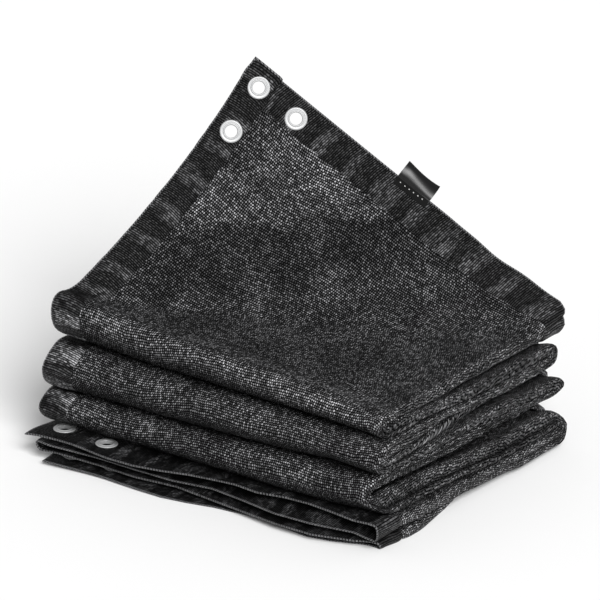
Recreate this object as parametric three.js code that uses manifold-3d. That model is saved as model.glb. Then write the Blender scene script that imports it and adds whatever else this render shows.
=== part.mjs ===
// Shade cloth, folded into a pile with one corner raised. Millimetres, +Z up.
// X runs from the left corner of the pile to the near corner, Y from the near corner to the right corner.
import * as THREE from 'three';
import { mergeVertices } from 'three/addons/utils/BufferGeometryUtils.js';
import Module from 'manifold-3d';

const wasm = await Module();
wasm.setup();

// Driving sizes of the pile
const PILE_LONG = 403;
const PILE_DEEP = 325;
const KNIT = 1.4;
const HEM_KNIT = 2.2;
const HEM_WIDE = 36;
const HEM_STEP = 2;
const LAYERS = 4;
const PASSES = 7;
const PITCH = 5.2;
const PASS_RISE = LAYERS * PITCH;
const PART_GAP = 0.3;

// Folds of the strip: the cloth is folded in four across, two folds at the near right and one at the left
const FOLD_R = 3.6;
const FOLD_R_TUCKED = 8.4;
const LEFT_FOLD_R = 3.3;
const FOLD_TAPER = 24;
const TUCK_DEPTH = 28;
const TUCK_RATE = 2.2;
const TUCK_BAND = 0.08;

// Turns of the strip: it goes back and forth between the front and the back of the pile
const TURN_R = PASS_RISE / 2;
const TURN_REACH = TURN_R + 1.5 * PITCH + KNIT / 2;
const FRONT_TURN = TURN_REACH;
const BACK_TURN = PILE_DEEP - TURN_REACH;
const SPAN = BACK_TURN - FRONT_TURN;
const TURN_LONG = Math.PI * TURN_R;
const FIRST_Z = KNIT / 2 + 1.5 * PITCH;

// How far the inner fold is tucked in, for each pass at its front and at its back
const TUCKS = [
  { front: 0.0, back: 0.6 },
  { front: 1.0, back: 0.6 },
  { front: 1.0, back: 0.4 },
  { front: 0.0, back: 0.4 },
  { front: 0.0, back: 0.5 },
  { front: 1.0, back: 0.5 },
  { front: 1.0, back: 1.0 },
];

// Height of each level of the even pile at the pile's four corners
const LEVELS = [
  { even: KNIT / 2, left: KNIT / 2, near: KNIT / 2, right: KNIT / 2, far: KNIT / 2 },
  { even: PASS_RISE, left: 36, near: 35, right: 27, far: 21 },
  { even: 3 * PASS_RISE, left: 70, near: 79, right: 68, far: 66 },
  { even: 5 * PASS_RISE, left: 125, near: 112, right: 107, far: 106 },
  { even: 7 * PASS_RISE, left: 181, near: 138, right: 138, far: 143 },
];

// How far each level of the even pile stands out at its four sides
const SWAY = [
  { even: 0, left: 0, right: 4, front: 7, back: 6 },
  { even: PASS_RISE, left: 8, right: 8, front: 9, back: 4 },
  { even: 2 * PASS_RISE, left: 10, right: -9, front: 12, back: 0 },
  { even: 3 * PASS_RISE, left: 11, right: 0, front: 5, back: 3 },
  { even: 4 * PASS_RISE, left: 5, right: 0, front: 10, back: -2 },
  { even: 5 * PASS_RISE, left: 3, right: 2, front: -5, back: -8 },
  { even: 7 * PASS_RISE, left: 0, right: -3, front: 3, back: 0 },
];

// The pile's upper levels swell and sink a little
const SWELL = 2;
const SWELL_LONG = 67;
const SWELL_DEEP = 70;
const SWELL_HIGH = 45;

// The loose hemmed ends of the bottom pass wave, and the two corners at the left stand out
const LOOSE_LONG = 75;
const LOOSE_LIFT = 3.5;
const LOOSE_OPEN = 0.08;
const LOOSE_LIFT_WAVE = 60;
const LOOSE_OUT = 8;
const LOOSE_OUT_WAVE = 57;
const LOOSE_FREE = 12;
const TIP_OUT = 8;
const TIP_FRONT = 12;
const TIP_SINK = 0.3;
const TIP_SPREAD = 45;
const UNDER_UP = 5;
const UNDER_IN = 10;
const UNDER_FRONT = 14;
const UNDER_SPREAD = 100;
const DROOP = 5;
const DROOP_LONG = 34;
const DROOP_HIGH = 30;
const DROOP_FROM = 95;
const DROOP_OVER = 110;
const RIPPLE = 3;
const RIPPLE_LONG = 23;
const RIPPLE_HIGH = 9;

// The low layers draw back at the near corner, and the folds at the right wander
const CORNER_BACK = 24;
const CORNER_IN = 8;
const CORNER_SPREAD = 42;
const CORNER_HIGH = 42;
const RIDGE = 2.2;
const RIDGE_LONG = 38;
const RIDGE_HIGH = 11;
const RIDGE_FADE = 80;

// Raised corner: a bend across the line from the left corner to the right one
const PILE_TOP = 138;
const FLAP_TURN = THREE.MathUtils.degToRad(40.3);
const FLAP_LEAN = THREE.MathUtils.degToRad(69.5);
const FLAP_START = 189;
const FLAP_R = 106;
const FLAP_PULL = 0.174;
const FLAP_PULL_BACK = 0.00056;
const FLAP_PULL_FADE = 150;
const FLAP_BLEND = 30;
const TOP_SOFT = 4;

// Eyelets and ribbon tab
const EYELET_IN = 21.5;
const EYELET_NEXT = 52;
const EYELET_HOLE_R = 6.3;
const EYELET_BARREL_R = 6.9;
const EYELET_FLANGE_R = 11.6;
const EYELET_PLATE = 0.7;
const EYELET_SIDES = 16;
const TAB_FROM = 189;
const TAB_WIDE = 41;
const TAB_OUT = 18.5;
const TAB_LAP = 14;
const TAB_RIBBON = 1.1;

const ease = (t) => {
  const c = THREE.MathUtils.clamp(t, 0, 1);
  return c * c * (3 - 2 * c);
};
const lerp = THREE.MathUtils.lerp;

// Value of a table's column at a height between two of its rows
function column(table, name, height) {
  let row = 1;
  while (row < table.length - 1 && table[row].even < height) row += 1;
  const low = table[row - 1];
  const high = table[row];
  const part = THREE.MathUtils.clamp((height - low.even) / (high.even - low.even), 0, 1);
  return lerp(low[name], high[name], part);
}

// The route across the strip, from the side hem at the left to the other side hem
const LONG_RUN = PILE_LONG - FOLD_R - KNIT / 2;
const SHORT_RUN = LONG_RUN - LEFT_FOLD_R - KNIT / 2;
const RUNS = [
  { kind: 'layer', layer: 0, length: LONG_RUN },
  { kind: 'right', band: 0, length: Math.PI * FOLD_R },
  { kind: 'layer', layer: 1, length: SHORT_RUN },
  { kind: 'left', length: Math.PI * LEFT_FOLD_R },
  { kind: 'layer', layer: 2, length: SHORT_RUN },
  { kind: 'right', band: 1, length: Math.PI * FOLD_R },
  { kind: 'layer', layer: 3, length: LONG_RUN },
];
const CLOTH_WIDE = RUNS.reduce((sum, run) => sum + run.length, 0);
const CLOTH_LONG = PASSES * SPAN + (PASSES - 1) * TURN_LONG + 2 * TURN_REACH;

function acrossStrip(q, tuck) {
  const bandR = [lerp(FOLD_R, FOLD_R_TUCKED, tuck), FOLD_R];
  const bandV = [lerp(1, TUCK_BAND, tuck) * PITCH, -PITCH];
  const inner = TUCK_DEPTH * Math.min(1, TUCK_RATE * tuck);
  const bandU = [-bandR[0] - KNIT / 2, -bandR[1] - KNIT / 2 - inner];
  const leftU = -PILE_LONG + LEFT_FOLD_R + KNIT / 2;
  let rest = q;
  let index = 0;
  while (index < RUNS.length - 1 && rest > RUNS[index].length) {
    rest -= RUNS[index].length;
    index += 1;
  }
  const run = RUNS[index];
  const part = rest / run.length;
  if (run.kind === 'right') {
    const angle = Math.PI * (0.5 - part);
    const r = bandR[run.band];
    const u = bandU[run.band] + r * Math.cos(angle);
    return { u, v: bandV[run.band] + r * Math.sin(angle), index, part };
  }
  if (run.kind === 'left') {
    const angle = Math.PI * (0.5 + part);
    return { u: leftU + LEFT_FOLD_R * Math.cos(angle), v: LEFT_FOLD_R * Math.sin(angle), index, part };
  }
  const band = run.layer < 2 ? 0 : 1;
  const upper = run.layer % 2 === 0;
  const hemmed = run.layer === 0 || run.layer === 3;
  const fromLeft = upper ? part : 1 - part;
  const startU = hemmed ? -PILE_LONG : leftU;
  const u = lerp(startU, bandU[band], fromLeft);
  const flatV = (1.5 - run.layer) * PITCH;
  const rightV = bandV[band] + (upper ? 1 : -1) * bandR[band];
  let v = flatV + (rightV - flatV) * ease(1 - (bandU[band] - u) / FOLD_TAPER);
  if (!hemmed) {
    const leftV = run.layer === 1 ? LEFT_FOLD_R : -LEFT_FOLD_R;
    v += (leftV - flatV) * ease(1 - (u - leftU) / FOLD_TAPER);
  }
  return { u, v, index, part };
}

// The strip's middle line, from the hemmed end at the front of the bottom pass
function alongStrip(s) {
  let rest = s - TURN_REACH;
  if (rest < 0) return { y: FRONT_TURN + rest, z: FIRST_Z, ny: 0, nz: 1, tuck: TUCKS[0].front };
  for (let pass = 0; pass < PASSES; pass += 1) {
    const forward = pass % 2 === 0;
    const z = FIRST_Z + pass * PASS_RISE;
    const last = pass === PASSES - 1;
    if (rest <= SPAN || last) {
      const y = forward ? FRONT_TURN + rest : BACK_TURN - rest;
      const toBack = ease((y - FRONT_TURN) / SPAN);
      const tuck = lerp(TUCKS[pass].front, TUCKS[pass].back, toBack);
      return { y, z, ny: 0, nz: forward ? 1 : -1, tuck };
    }
    rest -= SPAN;
    if (rest <= TURN_LONG) {
      const angle = (rest / TURN_LONG - 0.5) * Math.PI;
      const side = forward ? 1 : -1;
      const y = (forward ? BACK_TURN : FRONT_TURN) + side * TURN_R * Math.cos(angle);
      const ny = -Math.cos(angle);
      const nz = -side * Math.sin(angle);
      const tuck = forward ? TUCKS[pass].back : TUCKS[pass].front;
      return { y, z: z + TURN_R + TURN_R * Math.sin(angle), ny, nz, tuck };
    }
    rest -= TURN_LONG;
  }
  return null;
}

// The raised corner's bend, on a sheet that would lie flat at height zero
function bendFlap(x, y) {
  const cos = Math.cos(FLAP_TURN);
  const sin = Math.sin(FLAP_TURN);
  const beside = cos * x + sin * y;
  const away = cos * y - sin * x;
  const past = Math.max(0, away - FLAP_START);
  const angle = Math.min(past / FLAP_R, FLAP_LEAN);
  const straight = past - angle * FLAP_R;
  const reach = away - past + FLAP_R * Math.sin(angle) + straight * Math.cos(FLAP_LEAN);
  const rise = FLAP_R * (1 - Math.cos(angle)) + straight * Math.sin(FLAP_LEAN);
  const edge = Math.exp(-(x + PILE_LONG) / FLAP_PULL_FADE);
  const pull = edge * Math.max(0, FLAP_PULL * y - FLAP_PULL_BACK * y * y);
  const across = beside + pull;
  return { x: cos * across - sin * reach, y: sin * across + cos * reach, z: rise };
}

// The loose ends of the bottom pass, moved from where the even pile has them
function moveLooseEnds(point, even, q, s) {
  const loose = ease(1 - s / LOOSE_LONG);
  if (loose <= 0) return;
  const fromLeft = Math.max(0, even.x + PILE_LONG);
  const tip = loose * Math.exp(-Math.hypot(q, s) / TIP_SPREAD);
  const sink = loose * Math.exp(-Math.hypot(fromLeft, s) / TIP_SPREAD);
  const rise = loose * Math.exp(-fromLeft / UNDER_SPREAD);
  const under = loose * Math.exp(-Math.hypot(CLOTH_WIDE - q, s) / TIP_SPREAD);
  const free = THREE.MathUtils.clamp((point.z - KNIT) / LOOSE_FREE, 0, 1);
  const ripple = RIPPLE * Math.sin(even.x / RIPPLE_LONG + even.z / RIPPLE_HIGH);
  point.x += UNDER_IN * under - TIP_OUT * tip;
  const out = LOOSE_OUT * (1 + Math.sin(q / LOOSE_OUT_WAVE)) + ripple;
  point.y -= loose * out + TIP_FRONT * tip + UNDER_FRONT * under;
  point.z *= 1 + LOOSE_OPEN * loose - TIP_SINK * sink;
  point.z -= loose * free * LOOSE_LIFT * Math.sin(even.x / LOOSE_LIFT_WAVE);
  const droop = ease((fromLeft - DROOP_FROM) / DROOP_OVER) * ease(1 - s / DROOP_LONG);
  const middle = Math.sin(Math.PI * THREE.MathUtils.clamp(point.z / DROOP_HIGH, 0, 1));
  point.z += UNDER_UP * rise - DROOP * droop * middle;
}

function moveSides(point, even) {
  const away = Math.hypot(even.x, even.y) / CORNER_SPREAD;
  const corner = Math.exp(-away * away) * ease(1 - even.z / CORNER_HIGH);
  const ridge = ease(1 + even.x / RIDGE_FADE) * Math.sin(even.y / RIDGE_LONG + even.z / RIDGE_HIGH);
  point.x += RIDGE * ridge - CORNER_IN * corner;
  point.y += CORNER_BACK * corner;
}

// The larger of two heights, rounded where they meet
function smoothMax(a, b) {
  return (a + b + Math.hypot(a - b, TOP_SOFT) - TOP_SOFT) / 2;
}

// Where a point of the flat cloth lies: q across from the side hem, s along from the bottom pass's end hem
const FLAP_S = CLOTH_LONG - TURN_REACH - SPAN - 0.5 * TURN_LONG;
const FLAP_FULL = 0.5 * TURN_LONG + FLAP_BLEND;
function clothPoint(q, s) {
  const line = alongStrip(s);
  const strip = acrossStrip(q, line.tuck);
  const even = new THREE.Vector3(strip.u, line.y + strip.v * line.ny, line.z + strip.v * line.nz);
  const toLeft = THREE.MathUtils.clamp(-even.x / PILE_LONG, 0, 1);
  const toBack = THREE.MathUtils.clamp(even.y / PILE_DEEP, 0, 1);
  const height = (name) => column(LEVELS, name, even.z);
  const sway = (name) => column(SWAY, name, even.z);
  const frontZ = lerp(height('near'), height('left'), toLeft);
  const backZ = lerp(height('right'), height('far'), toLeft);
  const point = new THREE.Vector3(
    even.x + lerp(sway('right'), -sway('left'), toLeft),
    even.y + lerp(-sway('front'), sway('back'), toBack),
    lerp(frontZ, backZ, toBack),
  );
  const swell = Math.sin(even.x / SWELL_LONG + even.z / SWELL_HIGH) * Math.sin(even.y / SWELL_DEEP + 1);
  point.z += SWELL * swell * even.z / PILE_TOP;
  moveSides(point, even);
  moveLooseEnds(point, even, q, s);
  const onTop = strip.index === 0 ? 1 : strip.index === 1 ? 1 - strip.part : 0;
  const raised = onTop * ease((s - FLAP_S) / FLAP_FULL);
  if (raised > 0) {
    const flap = bendFlap(even.x, even.y);
    const top = smoothMax(point.z, PILE_TOP + flap.z);
    point.lerp(new THREE.Vector3(point.x + flap.x - even.x, point.y + flap.y - even.y, top), raised);
  }
  point.z = Math.max(point.z, KNIT / 2);
  return point;
}

const NORMAL_STEP = 0.5;
function clothNormal(q, s) {
  const across = clothPoint(q + NORMAL_STEP, s).sub(clothPoint(q - NORMAL_STEP, s));
  const along = clothPoint(q, s + NORMAL_STEP).sub(clothPoint(q, s - NORMAL_STEP));
  return across.cross(along).normalize();
}

// A closed sheet over the kept cells of a grid of q and s values, with its thickness from a function
function sheetGeometry(qs, ss, thickness, keeps = () => true) {
  const wide = qs.length;
  const long = ss.length;
  const places = [];
  for (const side of [1, -1]) {
    for (const s of ss) {
      for (const q of qs) {
        const out = clothNormal(q, s).multiplyScalar(side * thickness(q, s) / 2);
        const point = clothPoint(q, s).add(out);
        places.push(point.x, point.y, Math.max(point.z, 0));
      }
    }
  }
  const kept = (i, j) => i >= 0 && j >= 0 && i < wide - 1 && j < long - 1
    && keeps((qs[i] + qs[i + 1]) / 2, (ss[j] + ss[j + 1]) / 2);
  const faces = [];
  const quad = (a, b, c, d) => faces.push(a, b, c, a, c, d);
  const under = wide * long;
  for (let j = 0; j < long - 1; j += 1) {
    for (let i = 0; i < wide - 1; i += 1) {
      if (!kept(i, j)) continue;
      const a = j * wide + i;
      const b = a + 1;
      const c = b + wide;
      const d = a + wide;
      quad(a, b, c, d);
      quad(a + under, d + under, c + under, b + under);
      if (!kept(i, j - 1)) quad(a, a + under, b + under, b);
      if (!kept(i + 1, j)) quad(b, b + under, c + under, c);
      if (!kept(i, j + 1)) quad(c, c + under, d + under, d);
      if (!kept(i - 1, j)) quad(d, d + under, a + under, a);
    }
  }
  const geometry = new THREE.BufferGeometry();
  geometry.setAttribute('position', new THREE.Float32BufferAttribute(places, 3));
  geometry.setIndex(faces);
  return geometry;
}

// The raised top sheet is a piece of its own, parted from the pile along the middles of two folds
const PART_Q = LONG_RUN + 0.5 * Math.PI * FOLD_R;
const PART_S = FLAP_S;
const inRaised = (q, s) => q < PART_Q && s > PART_S;
const inPile = (q, s) => q > PART_Q + PART_GAP || s < PART_S - PART_GAP;

// Grid lines across: near the folds, at the hems and evenly between
const HEM_LINES = [70, HEM_WIDE + HEM_STEP, HEM_WIDE, HEM_WIDE / 2].map((d) => LONG_RUN - d);
const TAB_LINES = [TAB_FROM - PART_GAP, TAB_FROM + TAB_WIDE + PART_GAP].map((d) => LONG_RUN - d);
const LAYER_LINES = [
  { layer: 0, fromFold: [12, 24, 75, 125, ...TAB_LINES, 260, 300, ...HEM_LINES] },
  { layer: 1, fromFold: [12, 24, 150, 290, 375] },
  { layer: 2, fromFold: [12, 24, 150, 290, 375] },
  { layer: 3, fromFold: [12, 24, 150, 300, ...HEM_LINES] },
];
const FOLD_STEPS = 4;
function linesAcross() {
  const lines = [0];
  let start = 0;
  for (const run of RUNS) {
    if (run.kind === 'layer') {
      const inner = LAYER_LINES[run.layer].fromFold;
      const leftward = run.layer % 2 === 1;
      for (const d of inner) lines.push(start + (leftward ? d : run.length - d));
    } else {
      for (let k = 1; k < FOLD_STEPS; k += 1) lines.push(start + run.length * k / FOLD_STEPS);
    }
    start += run.length;
    lines.push(start);
  }
  lines.push(PART_Q + PART_GAP);
  return lines.sort((a, b) => a - b);
}

// Grid lines along: the turns in equal steps, the passes in a few, more on the pass with the raised corner
const FRONT_STEPS = 4;
const BACK_STEPS = 3;
const PASS_STEPS = 2;
const FLAP_STEPS = 8;
function linesAlong() {
  const lines = [0, TURN_REACH / 2, TURN_REACH, HEM_WIDE, HEM_WIDE + HEM_STEP, LOOSE_LONG, PART_S - PART_GAP];
  let start = TURN_REACH;
  for (let pass = 0; pass < PASSES; pass += 1) {
    const steps = pass === PASSES - 1 ? FLAP_STEPS : PASS_STEPS;
    for (let k = 1; k <= steps; k += 1) lines.push(start + SPAN * k / steps);
    start += SPAN;
    if (pass === PASSES - 1) break;
    const turns = pass % 2 === 0 ? BACK_STEPS : FRONT_STEPS;
    for (let k = 1; k <= turns; k += 1) lines.push(start + TURN_LONG * k / turns);
    start += TURN_LONG;
  }
  lines.push(CLOTH_LONG - HEM_WIDE - HEM_STEP, CLOTH_LONG - HEM_WIDE, CLOTH_LONG);
  return lines.sort((a, b) => a - b);
}

function clothThickness(q, s) {
  const edge = Math.min(q, CLOTH_WIDE - q, s, CLOTH_LONG - s);
  return edge <= HEM_WIDE + 0.01 ? HEM_KNIT : KNIT;
}

// Solids for joining and cutting
function solidOf(geometry) {
  const plain = geometry.clone();
  plain.deleteAttribute('normal');
  plain.deleteAttribute('uv');
  const merged = mergeVertices(plain, 1e-4);
  const mesh = new wasm.Mesh({
    numProp: 3,
    vertProperties: new Float32Array(merged.attributes.position.array),
    triVerts: new Uint32Array(merged.index.array),
  });
  return new wasm.Manifold(mesh);
}

function geometryOf(solid) {
  const mesh = solid.getMesh();
  const geometry = new THREE.BufferGeometry();
  geometry.setAttribute('position', new THREE.BufferAttribute(new Float32Array(mesh.vertProperties), 3));
  geometry.setIndex(new THREE.BufferAttribute(new Uint32Array(mesh.triVerts), 1));
  geometry.computeVertexNormals();
  return geometry;
}

function evenSteps(from, to, longest) {
  const count = Math.max(1, Math.ceil((to - from) / longest));
  return Array.from({ length: count + 1 }, (_, k) => lerp(from, to, k / count));
}

// Strips of hem that hold the eyelets, each with the eyelets' places in q and s
const SHORT_STRIP = 19;
const FOLD_EYELET_S = CLOTH_LONG - TURN_REACH - SPAN - TURN_LONG - SHORT_STRIP - 2;
const ROLL_EYELET_S = FOLD_EYELET_S - 4 * (SPAN + TURN_LONG);
const CORNER_LONG = 94;
const shortStrip = (s) => [s - SHORT_STRIP, s + SHORT_STRIP];
const STRIPS = [
  {
    name: 'hem_side', q: [0, HEM_WIDE], s: [CLOTH_LONG - CORNER_LONG, CLOTH_LONG],
    eyelets: [[21.5, CLOTH_LONG - 20.5], [22.5, CLOTH_LONG - 76]],
  },
  {
    name: 'hem_end', q: [HEM_WIDE + PART_GAP, CORNER_LONG], s: [CLOTH_LONG - HEM_WIDE, CLOTH_LONG],
    eyelets: [[71, CLOTH_LONG - 21]],
  },
  {
    name: 'hem_tip', q: [0, CORNER_LONG], s: [0, HEM_WIDE],
    eyelets: [[EYELET_IN, EYELET_IN], [EYELET_IN + EYELET_NEXT, EYELET_IN]],
  },
  {
    name: 'hem_under', q: [CLOTH_WIDE - CORNER_LONG, CLOTH_WIDE], s: [0, HEM_WIDE],
    eyelets: [[CLOTH_WIDE - EYELET_IN, EYELET_IN], [CLOTH_WIDE - EYELET_IN - EYELET_NEXT, EYELET_IN]],
  },
  {
    name: 'hem_fold', q: [0, HEM_WIDE], s: shortStrip(FOLD_EYELET_S), eyelets: [[EYELET_IN, FOLD_EYELET_S]],
  },
  {
    name: 'hem_roll', q: [0, HEM_WIDE], s: shortStrip(ROLL_EYELET_S), eyelets: [[EYELET_IN, ROLL_EYELET_S]],
  },
];
const STRIP_CELL = 13;
const CUT_THICK = 5;

// Places an object at a point of the cloth, its own Z along the cloth's normal and its X across the cloth
function standOn(object, q, s) {
  const out = clothNormal(q, s);
  const across = clothPoint(q + 1, s).sub(clothPoint(q - 1, s));
  across.addScaledVector(out, -across.dot(out)).normalize();
  const along = out.clone().cross(across);
  object.quaternion.setFromRotationMatrix(new THREE.Matrix4().makeBasis(across, along, out));
  object.position.copy(clothPoint(q, s));
  object.updateMatrix();
  return object;
}

const HOLE_THROUGH = 8;
function holeCutter(q, s) {
  const r = EYELET_BARREL_R + PART_GAP;
  const hole = new THREE.CylinderGeometry(r, r, HOLE_THROUGH, EYELET_SIDES).rotateX(Math.PI / 2);
  const stand = standOn(new THREE.Object3D(), q, s);
  return solidOf(hole.applyMatrix4(stand.matrix));
}

function stripSolid(strip) {
  const qs = evenSteps(strip.q[0], strip.q[1], STRIP_CELL);
  const ss = evenSteps(strip.s[0], strip.s[1], STRIP_CELL);
  let solid = solidOf(sheetGeometry(qs, ss, () => HEM_KNIT));
  for (const [q, s] of strip.eyelets) solid = solid.subtract(holeCutter(q, s));
  return solid;
}

// What is taken out of the cloth for a strip: its own place, a gap wider, and past the cloth's edge
const CUT_PAST = 4;
function stripCutter(strip) {
  const wider = (ends, limit) => [
    ends[0] <= 0 ? -CUT_PAST : ends[0] - PART_GAP,
    ends[1] >= limit ? limit + CUT_PAST : ends[1] + PART_GAP,
  ];
  const q = wider(strip.q, CLOTH_WIDE);
  const s = wider(strip.s, CLOTH_LONG);
  const qs = evenSteps(q[0], q[1], STRIP_CELL);
  const ss = evenSteps(s[0], s[1], STRIP_CELL);
  return solidOf(sheetGeometry(qs, ss, () => CUT_THICK));
}

function eyeletGeometry() {
  const top = HEM_KNIT / 2 + PART_GAP + EYELET_PLATE;
  const under = HEM_KNIT / 2 + PART_GAP;
  const profile = [
    [EYELET_HOLE_R, -top],
    [EYELET_FLANGE_R, -top],
    [EYELET_FLANGE_R, -under],
    [EYELET_BARREL_R, -under],
    [EYELET_BARREL_R, under],
    [EYELET_FLANGE_R, under],
    [EYELET_FLANGE_R, top],
    [EYELET_HOLE_R, top],
    [EYELET_HOLE_R, -top],
  ].map(([r, z]) => new THREE.Vector2(r, z));
  return new THREE.LatheGeometry(profile, EYELET_SIDES).rotateX(Math.PI / 2);
}

// Ribbon tab: a hairpin of ribbon astride the end hem's edge
function tabGeometry() {
  const half = HEM_KNIT / 2 + PART_GAP;
  const outer = half + TAB_RIBBON;
  const bend = TAB_OUT - outer;
  const shape = new THREE.Shape();
  shape.moveTo(-TAB_LAP, half);
  shape.lineTo(-TAB_LAP, outer);
  shape.lineTo(bend, outer);
  shape.absarc(bend, 0, outer, Math.PI / 2, -Math.PI / 2, true);
  shape.lineTo(-TAB_LAP, -outer);
  shape.lineTo(-TAB_LAP, -half);
  shape.lineTo(bend, -half);
  shape.absarc(bend, 0, half, -Math.PI / 2, Math.PI / 2, false);
  shape.lineTo(-TAB_LAP, half);
  const options = { depth: TAB_WIDE, bevelEnabled: false, curveSegments: 5 };
  const geometry = new THREE.ExtrudeGeometry(shape, options);
  return geometry.translate(0, 0, -TAB_WIDE / 2);
}

function standTab(tab) {
  const q = TAB_FROM + TAB_WIDE / 2;
  const out = clothNormal(q, CLOTH_LONG - 2);
  const outward = clothPoint(q, CLOTH_LONG).sub(clothPoint(q, CLOTH_LONG - 6));
  outward.addScaledVector(out, -outward.dot(out)).normalize();
  const across = outward.clone().cross(out);
  tab.quaternion.setFromRotationMatrix(new THREE.Matrix4().makeBasis(outward, out, across));
  tab.position.copy(clothPoint(q, CLOTH_LONG));
}

// Materials
const knit = new THREE.MeshStandardMaterial({ color: 0x1b1b1c, roughness: 0.8, metalness: 0 });
const hem = new THREE.MeshStandardMaterial({ color: 0x151516, roughness: 0.75, metalness: 0 });
const metal = new THREE.MeshStandardMaterial({ color: 0xd8dadc, roughness: 0.25, metalness: 1 });
const ribbon = new THREE.MeshStandardMaterial({ color: 0x0c0c0d, roughness: 0.3, metalness: 0 });

const model = new THREE.Group();
function addPiece(name, geometry, material) {
  const mesh = new THREE.Mesh(geometry, material);
  mesh.name = name;
  model.add(mesh);
  return mesh;
}

// A piece of the cloth over the kept cells, without the strips that hold its eyelets
function clothSolid(keeps) {
  const whole = solidOf(sheetGeometry(linesAcross(), linesAlong(), clothThickness, keeps));
  const cut = STRIPS.reduce((solid, strip) => solid.subtract(stripCutter(strip)), whole);
  return cut.decompose().reduce((a, b) => (a.volume() > b.volume() ? a : b));
}
addPiece('cloth', geometryOf(clothSolid(inPile)), knit);
addPiece('cloth_top', geometryOf(clothSolid(inRaised)), knit);

let eyeletCount = 0;
for (const strip of STRIPS) {
  addPiece(strip.name, geometryOf(stripSolid(strip)), hem);
  for (const [q, s] of strip.eyelets) {
    eyeletCount += 1;
    standOn(addPiece(`eyelet_${eyeletCount}`, eyeletGeometry(), metal), q, s);
  }
}

standTab(addPiece('tab', tabGeometry(), ribbon));

// The origin is at the middle of the underside
model.updateMatrixWorld(true);
const reach = new THREE.Box3().setFromObject(model, true);
const middle = reach.getCenter(new THREE.Vector3());
model.position.set(-middle.x, -middle.y, -reach.min.z);

export default model;
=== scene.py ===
import math

import bmesh
import bpy
import numpy as np
from mathutils import Matrix, Vector


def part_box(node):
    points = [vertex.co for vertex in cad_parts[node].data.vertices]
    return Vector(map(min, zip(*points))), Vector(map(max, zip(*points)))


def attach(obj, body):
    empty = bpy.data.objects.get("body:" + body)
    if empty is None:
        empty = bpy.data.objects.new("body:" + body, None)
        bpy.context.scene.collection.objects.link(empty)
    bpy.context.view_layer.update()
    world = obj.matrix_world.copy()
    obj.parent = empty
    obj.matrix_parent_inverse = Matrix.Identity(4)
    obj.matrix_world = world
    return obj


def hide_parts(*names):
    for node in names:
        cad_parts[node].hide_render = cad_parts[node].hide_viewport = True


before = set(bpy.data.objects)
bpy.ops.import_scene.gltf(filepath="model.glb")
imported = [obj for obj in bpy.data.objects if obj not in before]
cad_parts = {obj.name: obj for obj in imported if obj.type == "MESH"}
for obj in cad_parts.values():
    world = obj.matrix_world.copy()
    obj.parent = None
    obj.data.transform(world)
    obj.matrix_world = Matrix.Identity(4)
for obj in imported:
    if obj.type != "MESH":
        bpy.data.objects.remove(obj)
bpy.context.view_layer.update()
MM = 0.001

# Driving sizes of the pile, in millimetres, as in the part's source. X runs from the left corner
# of the pile to the near corner, and Y from the near corner to the right corner.
PILE_LONG = 403
PILE_DEEP = 325
PILE_TOP = 138
KNIT = 1.4
HEM_WIDE = 36
LAYERS = 4
PASSES = 7
PITCH = 5.2
PASS_RISE = LAYERS * PITCH

FOLD_R = 3.6
FOLD_R_TUCKED = 8.4
LEFT_FOLD_R = 3.3
FOLD_TAPER = 24
TUCK_DEPTH = 28
TUCK_RATE = 2.2
TUCK_BAND = 0.08

TURN_R = PASS_RISE / 2
TURN_REACH = TURN_R + 1.5 * PITCH + KNIT / 2
FRONT_TURN = TURN_REACH
BACK_TURN = PILE_DEEP - TURN_REACH
SPAN = BACK_TURN - FRONT_TURN
TURN_LONG = math.pi * TURN_R
CYCLE = SPAN + TURN_LONG
FIRST_Z = KNIT / 2 + 1.5 * PITCH

# How far the inner fold is tucked in, a number for each pass
TUCK_FRONT = np.array([0.0, 1.0, 1.0, 0.0, 0.0, 1.0, 1.0])
TUCK_BACK = np.array([0.6, 0.6, 0.4, 0.4, 0.5, 0.5, 1.0])

# Height of each level of the even pile at the pile's four corners
LEVELS = {
    "even": [KNIT / 2, PASS_RISE, 3 * PASS_RISE, 5 * PASS_RISE, 7 * PASS_RISE],
    "left": [KNIT / 2, 36, 70, 125, 181],
    "near": [KNIT / 2, 35, 79, 112, 138],
    "right": [KNIT / 2, 27, 68, 107, 138],
    "far": [KNIT / 2, 21, 66, 106, 143],
}

# How far each level of the even pile stands out at its four sides
SWAY = {
    "even": [k * PASS_RISE for k in (0, 1, 2, 3, 4, 5, 7)],
    "left": [0, 8, 10, 11, 5, 3, 0],
    "right": [4, 8, -9, 0, 0, 2, -3],
    "front": [7, 9, 12, 5, 10, -5, 3],
    "back": [6, 4, 0, 3, -2, -8, 0],
}

# Raised corner: a bend across the line from the left corner to the right one
FLAP_TURN = math.radians(40.3)
FLAP_LEAN = math.radians(69.5)
FLAP_START = 189
FLAP_R = 106
FLAP_PULL = 0.174
FLAP_PULL_BACK = 0.00056
FLAP_PULL_FADE = 150
FLAP_BLEND = 30
TOP_SOFT = 4

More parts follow.
